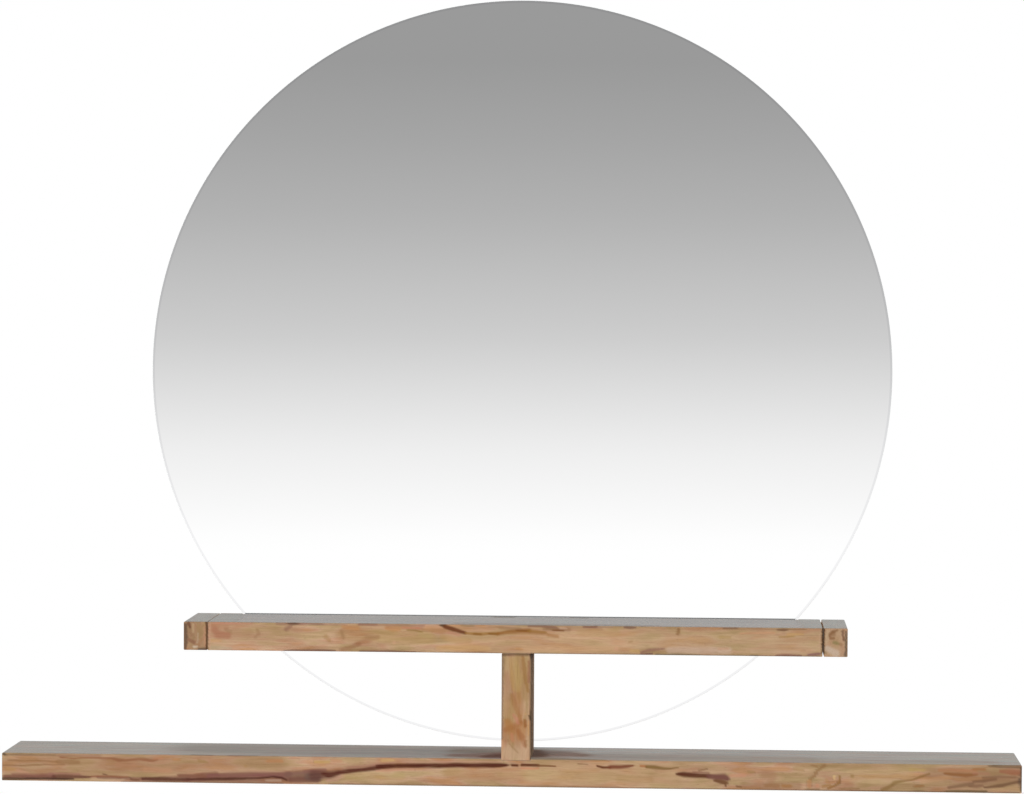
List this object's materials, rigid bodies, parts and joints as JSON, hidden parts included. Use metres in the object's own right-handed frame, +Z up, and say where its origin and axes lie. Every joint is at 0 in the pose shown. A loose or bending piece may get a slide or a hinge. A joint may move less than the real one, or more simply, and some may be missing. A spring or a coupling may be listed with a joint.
{
  "type": "mirror with shelf",
  "caption": "Round frameless wall mirror rising behind a long timber ledge, with a shorter timber shelf on a post across the glass and a batten frame with keyhole hangers behind.",
  "frame": {"origin": "on the wall plane, halfway between the centres of the two round hanger entries, at the outer faces of the hanger plates", "axes": "+X to the right seen from the front, +Y into the wall, +Z up; the timber fronts face -Y"},
  "size_m": [1.08, 0.12, 0.8365],
  "materials": {
    "silvered_glass": "float glass silvered on the back, with a narrow polished arris",
    "show_timber": "solid hardwood, sanded and oiled, tan with dark streaks",
    "dowel_beech": "plain beech dowel",
    "batten_softwood": "planed softwood, unfinished",
    "zinc_screw": "yellow zinc-plated steel",
    "zinc_plate": "bright zinc-plated steel sheet",
    "felt": "grey wool felt",
    "black_rubber": "black rubber",
    "foam_tape": "white double-sided foam tape"
  },
  "bodies": {
    "root": {"mirror_glass": "silvered_glass", "lower_ledge": "show_timber", "post": "show_timber", "shelf_board": "show_timber", "shelf_end_block_left": "show_timber", "shelf_end_block_right": "show_timber", "end_block_dowels_left": "dowel_beech", "end_block_dowels_right": "dowel_beech", "post_top_dowels": "dowel_beech", "post_foot_screws": "zinc_screw", "post_foot_plugs": "show_timber", "shelf_felt_strip": "felt", "glass_setting_block": "black_rubber", "centre_stile": "batten_softwood", "ledge_rail": "batten_softwood", "shelf_rail": "batten_softwood", "hanger_rail": "batten_softwood", "halving_joint_screws": "zinc_screw", "ledge_rail_screws": "zinc_screw", "shelf_rail_screws": "zinc_screw", "hanger_plate_left": "zinc_plate", "hanger_plate_right": "zinc_plate", "hanger_plate_screws": "zinc_screw", "mirror_tape_strips": "foam_tape", "wall_bumpers": "black_rubber"}
  },
  "joints": []
}
